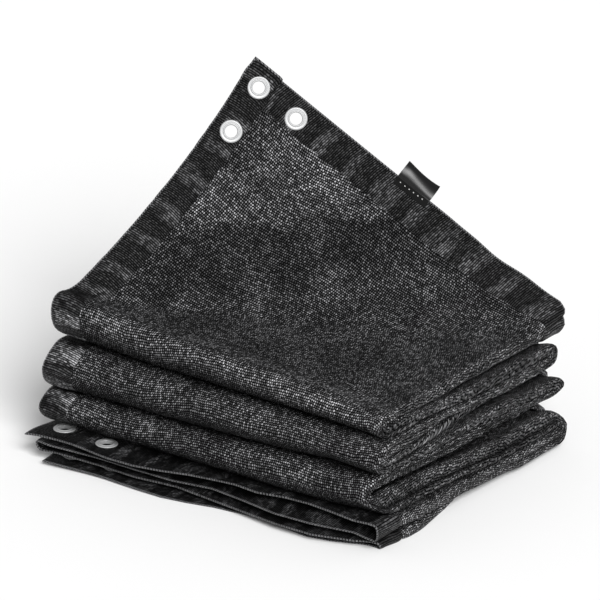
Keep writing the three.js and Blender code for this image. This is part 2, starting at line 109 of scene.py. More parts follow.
# The route across the strip from one side hem to the other: flat runs and folds in turn
LONG_RUN = PILE_LONG - FOLD_R - KNIT / 2
SHORT_RUN = LONG_RUN - LEFT_FOLD_R - KNIT / 2
RIGHT_RUN = math.pi * FOLD_R
LEFT_RUN = math.pi * LEFT_FOLD_R
RUN_LENGTHS = np.array([LONG_RUN, RIGHT_RUN, SHORT_RUN, LEFT_RUN, SHORT_RUN, RIGHT_RUN, LONG_RUN])
RUN_STARTS = np.concatenate([[0], np.cumsum(RUN_LENGTHS)[:-1]])
TOP_RUN = 0
UPPER_FOLD = 1
LEFT_FOLD = 3
LOWER_FOLD = 5
LOW_RUN = 6
CLOTH_WIDE = float(RUN_LENGTHS.sum())
CLOTH_LONG = PASSES * SPAN + (PASSES - 1) * TURN_LONG + 2 * TURN_REACH
FLAP_S = CLOTH_LONG - TURN_REACH - SPAN - 0.5 * TURN_LONG
FLAP_FULL = 0.5 * TURN_LONG + FLAP_BLEND


def ease(t):
    """A soft step from 0 to 1."""
    c = np.clip(t, 0, 1)
    return c * c * (3 - 2 * c)


def lerp(a, b, t):
    return a + (b - a) * t


def smooth_max(a, b):
    return (a + b + np.hypot(a - b, TOP_SOFT)) / 2 - TOP_SOFT / 2


def column(table, name, height):
    return np.interp(height, table["even"], table[name])


def run_of(q):
    """Which run of the strip's section a place across lies on, and how far along it, from 0 to 1."""
    index = np.clip(np.searchsorted(RUN_STARTS, q, side="left") - 1, TOP_RUN, LOW_RUN)
    return index, (q - RUN_STARTS[index]) / RUN_LENGTHS[index]


def across_strip(q, tuck):
    """Places on the strip's section: u across the pile, v off its middle, the run and its part."""
    index, part = run_of(q)
    upper_band = index < LEFT_FOLD
    band_r = np.where(upper_band, lerp(FOLD_R, FOLD_R_TUCKED, tuck), FOLD_R)
    band_v = np.where(upper_band, lerp(1, TUCK_BAND, tuck) * PITCH, -PITCH)
    inner = TUCK_DEPTH * np.minimum(1, TUCK_RATE * tuck)
    band_u = -band_r - KNIT / 2 - np.where(upper_band, 0, inner)
    left_u = -PILE_LONG + LEFT_FOLD_R + KNIT / 2

    right_angle = math.pi * (0.5 - part)
    right_u = band_u + band_r * np.cos(right_angle)
    right_v = band_v + band_r * np.sin(right_angle)
    left_angle = math.pi * (0.5 + part)
    turn_u = left_u + LEFT_FOLD_R * np.cos(left_angle)
    turn_v = LEFT_FOLD_R * np.sin(left_angle)

    layer = index // 2
    upper = layer % 2 == 0
    hemmed = (layer == 0) | (layer == LAYERS - 1)
    from_left = np.where(upper, part, 1 - part)
    u = lerp(np.where(hemmed, -PILE_LONG, left_u), band_u, from_left)
    flat_v = (1.5 - layer) * PITCH
    edge_v = band_v + np.where(upper, 1, -1) * band_r
    v = flat_v + (edge_v - flat_v) * ease(1 - (band_u - u) / FOLD_TAPER)
    left_v = np.where(layer == 1, LEFT_FOLD_R, -LEFT_FOLD_R)
    v = v + np.where(hemmed, 0, (left_v - flat_v) * ease(1 - (u - left_u) / FOLD_TAPER))

    in_right = (index == UPPER_FOLD) | (index == LOWER_FOLD)
    in_left = index == LEFT_FOLD
    u = np.where(in_right, right_u, np.where(in_left, turn_u, u))
    v = np.where(in_right, right_v, np.where(in_left, turn_v, v))
    return u, v, index, part


def along_strip(s):
    """The strip's middle line, from the hemmed end at the front of the bottom pass.

    Gives y, z, the two parts of its normal, and how far the inner fold is tucked in."""
    rest = s - TURN_REACH
    turn = np.clip(np.floor(rest / CYCLE), 0, PASSES - 1).astype(int)
    rest = rest - turn * CYCLE
    forward = turn % 2 == 0
    side = np.where(forward, 1, -1)
    z = FIRST_Z + turn * PASS_RISE
    y = np.where(forward, FRONT_TURN + rest, BACK_TURN - rest)
    tuck = lerp(TUCK_FRONT[turn], TUCK_BACK[turn], ease((y - FRONT_TURN) / SPAN))
    turning = (rest > SPAN) & (turn < PASSES - 1)
    angle = ((rest - SPAN) / TURN_LONG - 0.5) * math.pi
    turn_y = np.where(forward, BACK_TURN, FRONT_TURN) + side * TURN_R * np.cos(angle)
    turn_z = z + TURN_R + TURN_R * np.sin(angle)
    turn_tuck = np.where(forward, TUCK_BACK[turn], TUCK_FRONT[turn])
    y = np.where(turning, turn_y, y)
    z = np.where(turning, turn_z, z)
    ny = np.where(turning, -np.cos(angle), 0)
    nz = np.where(turning, -side * np.sin(angle), side)
    tuck = np.where(turning, turn_tuck, tuck)
    return y, z, ny, nz, tuck


def bend_flap(x, y):
    """The raised corner's bend, on a sheet that would lie flat at height zero."""
    c, s = math.cos(FLAP_TURN), math.sin(FLAP_TURN)
    beside = c * x + s * y
    away = c * y - s * x
    past = np.maximum(0, away - FLAP_START)
    angle = np.minimum(past / FLAP_R, FLAP_LEAN)
    straight = past - angle * FLAP_R
    reach = away - past + FLAP_R * np.sin(angle) + straight * math.cos(FLAP_LEAN)
    rise = FLAP_R * (1 - np.cos(angle)) + straight * math.sin(FLAP_LEAN)
    edge = np.exp(-(x + PILE_LONG) / FLAP_PULL_FADE)
    pulled = beside + edge * np.maximum(0, FLAP_PULL * y - FLAP_PULL_BACK * y * y)
    return c * pulled - s * reach, s * pulled + c * reach, rise


# The loose hemmed ends of the bottom pass wave, and the two corners at the left stand out
LOOSE_LONG = 75
LOOSE_LIFT = 3.5
LOOSE_OPEN = 0.08
LOOSE_LIFT_WAVE = 60
LOOSE_OUT = 8
LOOSE_OUT_WAVE = 57
LOOSE_FREE = 12
TIP_OUT = 8
TIP_FRONT = 12
TIP_SINK = 0.3
TIP_SPREAD = 45
UNDER_UP = 5
UNDER_IN = 10
UNDER_FRONT = 14
UNDER_SPREAD = 100
DROOP = 5
DROOP_LONG = 34
DROOP_HIGH = 30
DROOP_FROM = 95
DROOP_OVER = 110
RIPPLE = 3
RIPPLE_LONG = 23
RIPPLE_HIGH = 9

# The low layers draw back at the near corner, and the folds at the right wander
CORNER_BACK = 24
CORNER_IN = 8
CORNER_SPREAD = 42
CORNER_HIGH = 42
RIDGE = 2.2
RIDGE_LONG = 38
RIDGE_HIGH = 11
RIDGE_FADE = 80

# The pile's upper levels swell and sink a little
SWELL = 2
SWELL_LONG = 67
SWELL_DEEP = 70
SWELL_HIGH = 45
SWELL_PHASE = 1


def cloth_point(q, s):
    """Where the flat cloth's points lie: q across from a side hem, s along from the lower end hem."""
    q, s = np.broadcast_arrays(np.asarray(q, float), np.asarray(s, float))
    line_y, line_z, ny, nz, tuck = along_strip(s)
    even_x, v, index, part = across_strip(q, tuck)
    even_y = line_y + v * ny
    even_z = line_z + v * nz
    to_left = np.clip(-even_x / PILE_LONG, 0, 1)
    to_back = np.clip(even_y / PILE_DEEP, 0, 1)
    front_z = lerp(column(LEVELS, "near", even_z), column(LEVELS, "left", even_z), to_left)
    back_z = lerp(column(LEVELS, "right", even_z), column(LEVELS, "far", even_z), to_left)
    x = even_x + lerp(column(SWAY, "right", even_z), -column(SWAY, "left", even_z), to_left)
    y = even_y + lerp(-column(SWAY, "front", even_z), column(SWAY, "back", even_z), to_back)
    swell = np.sin(even_x / SWELL_LONG + even_z / SWELL_HIGH)
    swell = swell * np.sin(even_y / SWELL_DEEP + SWELL_PHASE)
    z = lerp(front_z, back_z, to_back) + SWELL * swell * (even_z / PILE_TOP)
    corner = np.exp(-((np.hypot(even_x, even_y) / CORNER_SPREAD) ** 2)) * ease(1 - even_z / CORNER_HIGH)
    ridge = RIDGE * ease(1 + even_x / RIDGE_FADE) * np.sin(even_y / RIDGE_LONG + even_z / RIDGE_HIGH)
    x = x - CORNER_IN * corner + ridge
    y = y + CORNER_BACK * corner

    # The loose ends
    loose = ease(1 - s / LOOSE_LONG)
    from_left = np.maximum(0, even_x + PILE_LONG)
    tip = loose * np.exp(-np.hypot(q, s) / TIP_SPREAD)
    sink = loose * np.exp(-np.hypot(from_left, s) / TIP_SPREAD)
    rise = loose * np.exp(-from_left / UNDER_SPREAD)
    under = loose * np.exp(-np.hypot(CLOTH_WIDE - q, s) / TIP_SPREAD)
    free = np.clip((z - KNIT) / LOOSE_FREE, 0, 1)
    out = LOOSE_OUT * (1 + np.sin(q / LOOSE_OUT_WAVE))
    out = out + RIPPLE * np.sin(even_x / RIPPLE_LONG + even_z / RIPPLE_HIGH)
    lift = loose * free * LOOSE_LIFT * np.sin(even_x / LOOSE_LIFT_WAVE)
    x = x - TIP_OUT * tip + UNDER_IN * under
    y = y - loose * out - TIP_FRONT * tip - UNDER_FRONT * under
    z = z * (1 + LOOSE_OPEN * loose - TIP_SINK * sink) - lift
    droop = ease((from_left - DROOP_FROM) / DROOP_OVER) * ease(1 - s / DROOP_LONG)
    z = z - DROOP * droop * np.sin(math.pi * np.clip(z / DROOP_HIGH, 0, 1)) + UNDER_UP * rise

    # The raised corner
    on_top = np.where(index == TOP_RUN, 1, np.where(index == UPPER_FOLD, 1 - part, 0))
    raised = on_top * ease((s - FLAP_S) / FLAP_FULL)
    flap_x, flap_y, flap_z = bend_flap(even_x, even_y)
    x = x + raised * (flap_x - even_x)
    y = y + raised * (flap_y - even_y)
    z = z + raised * (smooth_max(z, PILE_TOP + flap_z) - z)
    return np.stack([x, y, np.maximum(z, KNIT / 2)], axis=-1)


NORMAL_STEP = 0.5


def normal_of(shape, q, s):
    """Unit normals of a shape given as a function of q and s."""
    across = shape(q + NORMAL_STEP, s) - shape(q - NORMAL_STEP, s)
    along = shape(q, s + NORMAL_STEP) - shape(q, s - NORMAL_STEP)
    out = np.cross(across, along)
    return out / np.linalg.norm(out, axis=-1, keepdims=True)


# Eyelets: where each node's eyelet is on the flat cloth, across and along
SHORT_STRIP = 19
FOLD_EYELET_S = CLOTH_LONG - TURN_REACH - SPAN - TURN_LONG - SHORT_STRIP - 2
ROLL_EYELET_S = FOLD_EYELET_S - 4 * CYCLE
EYELETS = {
    "eyelet_1": (21.5, CLOTH_LONG - 20.5),
    "eyelet_2": (22.5, CLOTH_LONG - 76),
    "eyelet_3": (71, CLOTH_LONG - 21),
    "eyelet_4": (21.5, 21.5),
    "eyelet_5": (73.5, 21.5),
    "eyelet_6": (CLOTH_WIDE - 21.5, 21.5),
    "eyelet_7": (CLOTH_WIDE - 73.5, 21.5),
    "eyelet_8": (21.5, FOLD_EYELET_S),
    "eyelet_9": (21.5, ROLL_EYELET_S),
}

# The pile's own frame is moved to the row's: an eyelet's box is centred on its place
low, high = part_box("eyelet_1")
EYELET_CENTRE = np.array((low + high) / 2) / MM
ROW_SHIFT = EYELET_CENTRE - cloth_point(*EYELETS["eyelet_1"])


def to_row(points):
    """From the pile's own frame in millimetres to the row's in metres."""
    return (np.asarray(points) + ROW_SHIFT) * MM


# Soft unevenness that the solids leave out, in millimetres: the puckers of the hem's stitching
PUCKER = 2.8
PUCKER_IN_PILE = 0.9
PUCKER_GROW = 60
PUCKER_LONG = 42
PUCKER_DRIFT = 7
PUCKER_DRIFT_LONG = 130
PUCKER_UNEVEN = 0.35
PUCKER_UNEVEN_LONG = 210
PUCKER_EDGE = 10
PUCKER_SLACK = 0.25
HEM_SOFT = 14

# The hemmed edges wander, on the loose ends and on the raised corner
EDGE_WAVE = 4.5
EDGE_WAVE_LONG = 130
EDGE_WAVE_FROM = 105
EDGE_WAVE_FADE = 60
EDGE_WAVE_REACH = 75
RAISED_WAVE = 1.6
RAISED_WAVE_FROM = 215

# The side folds split in two where the inner fold is tucked in
SPLIT_DEEP = 5.5
SPLIT_WIDE = 0.17
SPLIT_RATE = 1.5

# Painted light and shade on the knit: painted highlights on the crowns of the folds and rolls and just
# behind the front fold, painted shade in the folds' grooves and elsewhere on the rolls
GROOVE_WIDE = 0.16
GROOVE_DARK = 0.98
SIDE_LIGHT = 1.2
CROWN_LIGHT = 1.05
TOP_CROWN_LIGHT = 1.7
CROWN_DARK = 0.66
CROWN_SHARP = 3
CROWN_ANGLE = math.radians(40)
BEHIND_LIGHT = 0.5
BEHIND_WIDE = 22
ROLL_SHARP = 2.5

# Sag as two waves, each with its length and seed, and small waves along the rolls
SAG = 2
SAG_FIRST = (190, 6)
SAG_SECOND = (150, 8)
SAG_SLANT = 0.35
SAG_BACK_SLANT = 0.2
ROLL_WAVE = 0.5
ROLL_WAVE_LONG = 60
ROLL_PATCH = 300

# The hem's seam, the lap and step at the raised corner's tip, and the flat cloth around an eyelet
SEAM_DEEP = 0.8
SEAM_SOFT = 3
CORNER_LAP = 1.5
CORNER_STEP = 2.4
CORNER_STEP_LONG = 9
CORNER_STEP_PAST = 1
LAP_SOFT = 1.6
EYELET_FLAT = 17


def wobble(t, longest, seed):
    """A smooth uneven wave between about -1 and 1, the same each time."""
    total = 0
    for k, size in enumerate((0.5, 0.3, 0.2)):
        total = total + size * np.sin(t * 2 * math.pi * (1 + 0.73 * k) / longest + seed * (1.7 + k))
    return total


def edge_distance(q, s):
    return np.minimum(np.minimum(q, CLOTH_WIDE - q), np.minimum(s, CLOTH_LONG - s))


def puckers(along, from_edge, seed):
    """The hem's stitching draws it into small waves that fade out past its inner edge."""
    drift = PUCKER_DRIFT * wobble(along, PUCKER_DRIFT_LONG, seed)
    height = 1 - PUCKER_UNEVEN + PUCKER_UNEVEN * wobble(along, PUCKER_UNEVEN_LONG, seed + 3)
    reach = np.where(from_edge < HEM_WIDE, 1, np.exp(-(((from_edge - HEM_WIDE) / HEM_SOFT) ** 2)))
    slack = 1 - PUCKER_SLACK + PUCKER_SLACK * np.cos(math.pi * from_edge / HEM_WIDE)
    across = ease(from_edge / PUCKER_EDGE) * slack
    return height * reach * across * np.sin(2 * math.pi * (along + drift) / PUCKER_LONG)


def groove(q, s, wide):
    """1 in the middle of a side fold whose lower half is tucked in, 0 away from it."""
    index, part = run_of(q)
    tucked = np.minimum(1, along_strip(s)[4] * SPLIT_RATE)
    return np.exp(-(((part - 0.5) / wide) ** 2)) * (index == UPPER_FOLD) * tucked


def front_roll(s):
    """1 on the turned rolls at the front, 0 on the flat passes."""
    y, _, ny, _, _ = along_strip(s)
    return ease(-ny * ROLL_SHARP) * (y <= FRONT_TURN)


def fold_light_and_shade(q, s):
    """How light the knit is painted: painted highlights on the crowns of the folds, painted shade in
    the grooves.
    """
    y, _, ny, nz, _ = along_strip(s)
    crown = np.maximum(-ny * math.cos(CROWN_ANGLE) + nz * math.sin(CROWN_ANGLE), 0) ** CROWN_SHARP
    light = np.where(s > FLAP_S - TURN_LONG / 2, TOP_CROWN_LIGHT, CROWN_LIGHT)
    front = (light * crown - CROWN_DARK) * front_roll(s)
    behind = BEHIND_LIGHT * ease(1 - (y - FRONT_TURN) / BEHIND_WIDE) * (y > FRONT_TURN) * (s > FLAP_S)
    index, part = run_of(q)
    side = SIDE_LIGHT * np.sin(math.pi * part) * ((index == UPPER_FOLD) | (index == LOWER_FOLD))
    return (1 + front + behind + side) * (1 - GROOVE_DARK * groove(q, s, GROOVE_WIDE))


def relief(q, s):
    """How far the cloth stands off the plain shape along its normal."""
    side = puckers(s, q, 1) + puckers(s, CLOTH_WIDE - q, 2)
    end = puckers(q, CLOTH_LONG - s, 4) + puckers(q, s, 5)
    pucker = lerp(PUCKER_IN_PILE, PUCKER, ease((s - FLAP_S) / PUCKER_GROW))
    sag = wobble(q + SAG_SLANT * s, *SAG_FIRST) * wobble(s - SAG_BACK_SLANT * q, *SAG_SECOND)
    roll = wobble(s, ROLL_WAVE_LONG, np.floor(q / ROLL_PATCH))
    lap = ease((HEM_WIDE - q) / LAP_SOFT) * ease((s - CLOTH_LONG + HEM_WIDE) / LAP_SOFT)
    seam = np.exp(-(((edge_distance(q, s) - HEM_WIDE) / SEAM_SOFT) ** 2))
    total = (side + end) * pucker + SAG * sag + ROLL_WAVE * roll + CORNER_LAP * lap
    total = total - SEAM_DEEP * seam - SPLIT_DEEP * groove(q, s, SPLIT_WIDE)
    for hole_q, hole_s in EYELETS.values():
        near = ((q - hole_q) ** 2 + (s - hole_s) ** 2) / EYELET_FLAT**2
        total = total * (1 - np.exp(-(near**2)))
    return total


def edge_shift(q, s):
    """How far the hemmed edges wander in the cloth's own plane, along it."""
    lap = ease((HEM_WIDE + CORNER_STEP_PAST - q) / LAP_SOFT)
    lap = lap * ease((s - CLOTH_LONG + CORNER_STEP_LONG) / CORNER_STEP_LONG)
    from_corner = np.minimum(q, CLOTH_WIDE - q)
    loose = ease((from_corner - EDGE_WAVE_FROM) / EDGE_WAVE_FADE) * ease(1 - s / EDGE_WAVE_REACH)
    raised = ease((q - RAISED_WAVE_FROM) / EDGE_WAVE_FADE)
    raised = raised * ease(1 - (CLOTH_LONG - s) / EDGE_WAVE_REACH)
    loose_wave = loose * EDGE_WAVE * wobble(q, EDGE_WAVE_LONG, 3)
    raised_wave = raised * RAISED_WAVE * wobble(q, EDGE_WAVE_LONG, 7)
    return CORNER_STEP * lap + loose_wave - raised_wave


def surface(q, s):
    """The cloth's middle surface with all its unevenness."""
    q, s = np.broadcast_arrays(np.asarray(q, float), np.asarray(s, float))
    return cloth_point(q, s + edge_shift(q, s)) + normal_of(cloth_point, q, s) * relief(q, s)[..., None]


# The sheet's thickness, the steps of its grid and the angles of sharp edges
SHEET_KNIT = 1.2
SHEET_HEM = 2.4
SHEET_EDGE = 1.1
EDGE_SOFT = 5
HEM_RISE = 0.9
FINE = 4.0
HEM_FINE = 3.0
COARSE = 30
INNER_TAPER = 6
INNER_COARSE = 45
ROW_COARSE = 24
FOLD_STEPS = 8
BACK_TURN_STEPS = 8
FRONT_TURN_STEPS = 12
CORNER_LONG = 96
FINE_FROM = FLAP_S - 4
LINE_GAP = 0.05
SAME_PLACE = 0.01
EYELET_CUT = 8.8
CLOTH_SHARP = math.radians(60)
SMALL_SHARP = math.radians(50)


def thickness(q, s):
    inside = np.clip((edge_distance(q, s) - HEM_WIDE) / HEM_RISE, 0, 1)
    folded = ease(edge_distance(q, s) / EDGE_SOFT)
    return lerp(lerp(SHEET_EDGE, SHEET_HEM, folded), SHEET_KNIT, inside)


def steps(start, end, longest):
    """Even steps from start to end, none longer than asked."""
    count = max(1, math.ceil(abs(end - start) / longest - 1e-6))
    return list(np.linspace(start, end, count + 1))


def merged(values):
    """All the values in order, without those that nearly repeat."""
    values = np.sort(np.concatenate(values))
    return values[np.concatenate([[True], np.diff(values) > LINE_GAP])]


def across_lines(fine):
    """Grid lines across the cloth: layer by layer, fine all over the top layer if asked."""
    lines = []
    for index, (start, length) in enumerate(zip(RUN_STARTS, RUN_LENGTHS)):
        end = start + length
        if index in (UPPER_FOLD, LEFT_FOLD, LOWER_FOLD):
            lines.append(np.linspace(start, end, FOLD_STEPS + 1))
        elif index in (TOP_RUN, LOW_RUN):
            middle = FINE if fine and index == TOP_RUN else COARSE
            from_hem = steps(0, HEM_WIDE, HEM_FINE) + steps(HEM_WIDE + HEM_RISE, CORNER_LONG, FINE)
            from_hem += steps(CORNER_LONG, length - FOLD_TAPER, middle)
            from_hem += steps(length - FOLD_TAPER, length, HEM_FINE)
            lines.append([start + d if index == TOP_RUN else end - d for d in from_hem])
        else:
            lines.append(steps(start, start + FOLD_TAPER, INNER_TAPER))
            lines.append(steps(start + FOLD_TAPER, end - FOLD_TAPER, INNER_COARSE))
            lines.append(steps(end - FOLD_TAPER, end, INNER_TAPER))
    return merged(lines)


def along_lines():
    """Grid lines along the cloth, pass by pass and turn by turn, closer at the hems and eyelets."""
    lines = [steps(0, HEM_WIDE, HEM_FINE), steps(HEM_WIDE + HEM_RISE, LOOSE_LONG, FINE)]
    start = TURN_REACH
    for turn in range(PASSES):
        last = turn == PASSES - 1
        lines.append(steps(max(start, LOOSE_LONG), start + SPAN, FINE if last else ROW_COARSE))
        start += SPAN
        if not last:
            count = BACK_TURN_STEPS if turn % 2 == 0 else FRONT_TURN_STEPS
            lines.append(steps(start, start + TURN_LONG, TURN_LONG / count))
            start += TURN_LONG
    for centre in (FOLD_EYELET_S, ROLL_EYELET_S):
        lines.append(steps(centre - SHORT_STRIP, centre + SHORT_STRIP, FINE))
    lines.append(steps(CLOTH_LONG - HEM_WIDE, CLOTH_LONG, HEM_FINE))
    lines.append([CLOTH_LONG - HEM_WIDE - HEM_RISE])
    return merged(lines)


def zip_rows(first, second, first_q, second_q):
    """Faces between two rows of points whose places across may differ."""
    faces, i, j = [], 0, 0
    while i < len(first_q) - 1 or j < len(second_q) - 1:
        ahead_i = first_q[i + 1] if i < len(first_q) - 1 else math.inf
        ahead_j = second_q[j + 1] if j < len(second_q) - 1 else math.inf
        if abs(ahead_i - ahead_j) < SAME_PLACE:
            faces.append((first + i, first + i + 1, second + j + 1, second + j))
            i, j = i + 1, j + 1
        elif ahead_i < ahead_j:
            faces.append((first + i, first + i + 1, second + j))
            i += 1
        else:
            faces.append((first + i, second + j + 1, second + j))
            j += 1
    return faces


def cut_holes(q, s, faces):
    """Takes out the faces inside each eyelet and rounds the holes' edges."""
    kept = faces
    for hole_q, hole_s in EYELETS.values():
        away = np.hypot(q - hole_q, s - hole_s)
        gone = [f for f in kept if away[list(f)].mean() < EYELET_CUT]
        kept = [f for f in kept if away[list(f)].mean() >= EYELET_CUT]
        rim = set(k for f in gone for k in f) & set(k for f in kept for k in f)
        for k in rim:
            q[k] = hole_q + (q[k] - hole_q) * EYELET_CUT / away[k]
            s[k] = hole_s + (s[k] - hole_s) * EYELET_CUT / away[k]
    return kept


def tube_faces(first, rings, count, closed=False):
    """Faces between rings of points that follow each other, each ring a closed loop."""
    faces = []
    for k in range(rings if closed else rings - 1):
        here, after = first + k * count, first + (k + 1) % rings * count
        for j in range(count):
            following = (j + 1) % count
            faces.append((here + j, here + following, after + following, after + j))
    return faces


def mesh_object(name, points, faces, uvs=None, slots=None, materials=()):
    mesh = bpy.data.meshes.new(name)
    mesh.from_pydata([tuple(p) for p in points], [], faces)
    loops = np.zeros(len(mesh.loops), np.int32)
    mesh.loops.foreach_get("vertex_index", loops)
    for map_name, places in (uvs or {}).items():
        layer = mesh.uv_layers.new(name=map_name)
        layer.data.foreach_set("uv", np.asarray(places)[loops].astype(np.float32).ravel())
    for material in materials:
        mesh.materials.append(material)
    if slots is not None:
        mesh.polygons.foreach_set("material_index", slots)
    mesh.shade_smooth()
    mesh.update()
    thing = bpy.data.objects.new(name, mesh)
    bpy.context.scene.collection.objects.link(thing)
    return thing


def recalculate(thing):
    """Turns every face outward."""
    mesh = bmesh.new()
    mesh.from_mesh(thing.data)
    bmesh.ops.recalc_face_normals(mesh, faces=mesh.faces)
    mesh.to_mesh(thing.data)
    mesh.free()


def real_places(rows, row_q):
    """Places on the cloth in real lengths, so that the knit isn't stretched at the folds."""
    places_q = across_lines(False)
    grid = cloth_point(places_q[None, :], rows[:, None])
    across = np.cumsum(np.linalg.norm(np.diff(grid, axis=1, prepend=grid[:, :1]), axis=2), axis=1)
    along = np.cumsum(np.linalg.norm(np.diff(grid, axis=0, prepend=grid[:1]), axis=2), axis=0)
    columns = []
    for lengths in (across, along):
        each = [np.interp(q, places_q, lengths[k]) for k, q in enumerate(row_q)]
        columns.append(np.concatenate(each))
    return np.stack(columns, axis=1)


def build_cloth(materials):
    """The whole sheet as one closed mesh: two skins beside the surface, joined at the edges."""
    fine, coarse = across_lines(True), across_lines(False)
    rows = along_lines()
    row_q = [fine if s > FINE_FROM else coarse for s in rows]
    starts = np.concatenate([[0], np.cumsum([len(r) for r in row_q])])
    q = np.concatenate(row_q)
    s = np.concatenate([np.full(len(r), v) for r, v in zip(row_q, rows)])
    faces = []
    for k in range(len(rows) - 1):
        faces += zip_rows(int(starts[k]), int(starts[k + 1]), row_q[k], row_q[k + 1])
    faces = cut_holes(q, s, faces)

    out = normal_of(surface, q, s)
    middle = surface(q, s)
    half = thickness(q, s)[:, None] / 2
    count = len(q)
    points = np.concatenate([middle + out * half, middle - out * half])
    points[:, 2] = np.maximum(points[:, 2], 0)
    under = [tuple(k + count for k in reversed(f)) for f in faces]
    edges = dict.fromkeys(edge for f in faces for edge in zip(f, f[1:] + f[:1]))
    rim = [(a, a + count, b + count, b) for a, b in edges if (b, a) not in edges]
    every = faces + under + rim

    # The hem's faces have their own material, and points that no face uses are left out
    hemmed = np.tile(edge_distance(q, s) < HEM_WIDE + 0.5 * HEM_RISE, 2)
    slots = [int(all(hemmed[k] for k in f)) for f in every]
    used = np.zeros(2 * count, bool)
    for f in every:
        used[list(f)] = True
    renumber = np.cumsum(used) - 1
    every = [tuple(int(renumber[k]) for k in f) for f in every]
    maps = {
        "flat": np.stack([q, s], axis=1) * MM,
        "knit": real_places(rows, row_q) * MM,
        # The painted light map: the folds' painted light and shade, and where the rolls' hems are
        # painted lighter
        "painted_light": np.stack([fold_light_and_shade(q, s), front_roll(s)], axis=1),
    }
    maps = {name: np.concatenate([places, places])[used] for name, places in maps.items()}
    cloth = mesh_object("shade_cloth", to_row(points[used]), every, maps, slots, materials)
    cloth.data.set_sharp_from_angle(angle=CLOTH_SHARP)
    return cloth


# Materials
def new_material(name, roughness, colour, metallic=0.0, specular=None):
    material = bpy.data.materials.new(name)
    material.use_nodes = True
    shader = material.node_tree.nodes["Principled BSDF"]
    shader.inputs["Base Color"].default_value = (*colour, 1)
    shader.inputs["Roughness"].default_value = roughness
    shader.inputs["Metallic"].default_value = metallic
    if specular is not None:
        shader.inputs["Specular IOR Level"].default_value = specular
    material.diffuse_color = (*colour, 1)
    return material


class Wiring:
    """Short names for the nodes of one material."""

    def __init__(self, material):
        self.tree = material.node_tree
        self.shader = self.tree.nodes["Principled BSDF"]

    def put(self, socket, value):
        if isinstance(value, (int, float, tuple)):
            socket.default_value = value
        else:
            self.tree.links.new(value, socket)

    def node(self, kind, *values, **settings):
        """A new node with its settings, and with the values on its first sockets."""
        node = self.tree.nodes.new(kind)
        for name, setting in settings.items():
            setattr(node, name, setting)
        for socket, value in zip(node.inputs, values):
            self.put(socket, value)
        return node

    def math(self, operation, *values):
        return self.node("ShaderNodeMath", *values, operation=operation).outputs[0]

    def vector_math(self, operation, *values):
        return self.node("ShaderNodeVectorMath", *values, operation=operation).outputs[0]

    def product(self, first, *others):
        for value in others:
            first = self.math("MULTIPLY", first, value)
        return first

    def range(self, value, ends, results):
        """Takes the value from one pair of ends to another, and holds it there."""
        return self.node("ShaderNodeMapRange", value, *ends, *results).outputs[0]

    def mix(self, share, first, second):
        """The first value where the share is 0 and the second where it is 1."""
        return self.math("MULTIPLY_ADD", share, self.math("SUBTRACT", second, first), first)

    def hump(self, value):
        """0 at the edges of each unit cell, 1 in its middle."""
        return self.math("SINE", self.product(self.math("FRACT", value), math.pi))

    def place(self, map_name):
        """The two numbers of a map: for a place on the cloth, across and along in metres."""
        place = self.node("ShaderNodeUVMap", uv_map=map_name).outputs[0]
        split = self.node("ShaderNodeSeparateXYZ", place)
        return split.outputs[0], split.outputs[1]

    def noise(self, kind, x, y, **values):
        node = self.node(kind, noise_dimensions="2D")
        self.put(node.inputs["Vector"], self.node("ShaderNodeCombineXYZ", x, y).outputs[0])
        for name, value in values.items():
            self.put(node.inputs[name], value)
        return node.outputs

    def cell_noise(self, x, y):
        outputs = self.noise("ShaderNodeTexWhiteNoise", x, y)
        return outputs["Value"], outputs["Color"]

    def soft_noise(self, x, y, scale):
        return self.noise("ShaderNodeTexNoise", x, y, Scale=scale, Detail=2)[0]

    def grey(self, value, tint):
        parts = [self.product(value, part) for part in tint]
        colour = self.node("ShaderNodeCombineColor", *parts).outputs[0]
        self.put(self.shader.inputs["Base Color"], colour)

    def glints(self, colour, amount, height, relief_m):
        """Each loop of flat yarn leans its own way, over the bump of the loops."""
        bump = self.node("ShaderNodeBump")
        for name, value in (("Distance", relief_m), ("Strength", 1), ("Height", height)):
            self.put(bump.inputs[name], value)
        lean = self.vector_math("SUBTRACT", colour, (0.5, 0.5, 0.5))
        lean = self.vector_math("MULTIPLY", lean, (amount, amount, amount))
        lean = self.vector_math("ADD", bump.outputs[0], lean)
        self.put(self.shader.inputs["Normal"], self.vector_math("NORMALIZE", lean))


# The knit: sizes in metres, noise scales per metre, and how dark and light its loops are
KNIT_TINT = (1.0, 1.0, 1.03)
SHINE = 0.2
WALE = 0.0026
WALE_WANDER = 0.0016
WALE_WANDER_SCALE = 90
LOOP = 0.0023
LOOP_WANDER = 0.0014
LOOP_WANDER_SCALE = 260
LOOP_SIZES = (0.8, 1.15)
LOOP_EDGE = (0.3, 0.85)
LOOP_CONTRAST = 2
KNIT_EVEN = 0.13
KNIT_DARK = 0.002
KNIT_LIGHT = 0.25
KNIT_LEAN = 0.4
KNIT_RELIEF = 0.0007

# Clouds of random tone on the knit, and how far from the raised corner's tip the painted light and
# shade on its panel lie
CLOUD_SCALE = 18
CLOUD_EDGE = (0.35, 0.65)
CLOUD_LIGHT = (0.75, 1.28)
PANEL_LIGHT = 1.75
PANEL_DARK = 0.62
PANEL_START = 0.5
PANEL_UNEVEN = 0.09
PANEL_LIGHT_RISE = (0.14, 0.24)
PANEL_SHADE_FALL = (0.265, 0.285)
PANEL_SHADE_END = (0.35, 0.39)

# The hems: slanted lines in short pieces
HATCH = 0.0022
HATCH_SLANT = 0.25
HATCH_WANDER = 0.0012
HATCH_WANDER_SCALE = 80
HATCH_EDGE = (0.3, 0.9)
HEM_PIECE = 0.0042
PIECE_EDGE = (0, 0.7)
PIECE_LIGHT = (0.35, 1)
HEM_DARK = 0.003
HEM_LIGHT = 0.047
HEM_EVEN = 0.08
HEM_CONTRAST = 1.3
# Painted light on the hems of the turned rolls at the front
HEM_ROLL_LIGHT = 2.4
HEM_LEAN = 0.45
HEM_RELIEF = 0.0005
